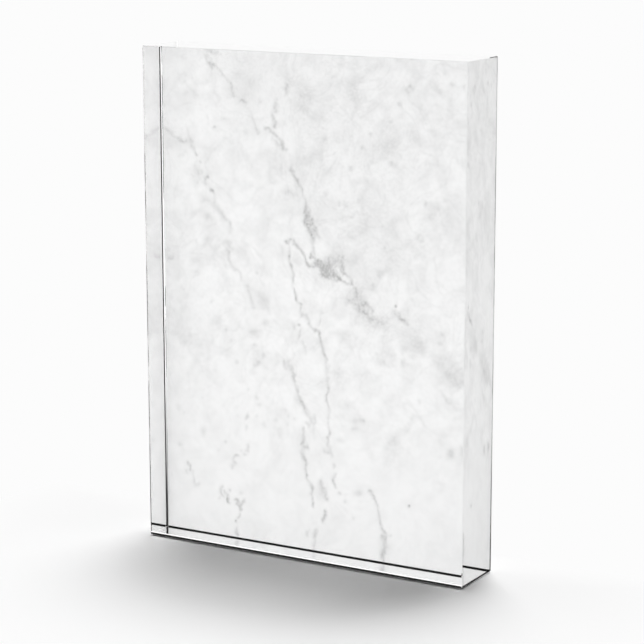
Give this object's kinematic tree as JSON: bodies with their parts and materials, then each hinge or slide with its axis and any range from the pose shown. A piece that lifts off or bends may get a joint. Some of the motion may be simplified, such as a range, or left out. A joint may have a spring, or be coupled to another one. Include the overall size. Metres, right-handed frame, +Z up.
{
  "type": "photo block",
  "caption": "Free-standing clear acrylic block with bevelled edges and a white marble print bonded to its back face, to stand on a desk or shelf.",
  "frame": {"origin": "middle of the footprint, on the surface that the block stands on", "axes": "+Z up along the block's height, +X to the right as the print is looked at, and +Y back through the block's depth, so that the clear front faces -Y"},
  "size_m": [0.127, 0.0228, 0.1778],
  "materials": {
    "clear_acrylic": "polished",
    "clear_adhesive": "gloss",
    "marble_paper": "satin",
    "mounting_adhesive": "matte",
    "white_vinyl": "satin"
  },
  "bodies": {
    "root": {"acrylic_block": "clear_acrylic", "optical_film": "clear_adhesive", "marble_print": "marble_paper", "mounting_film": "mounting_adhesive", "backing_sheet": "white_vinyl"}
  },
  "joints": []
}
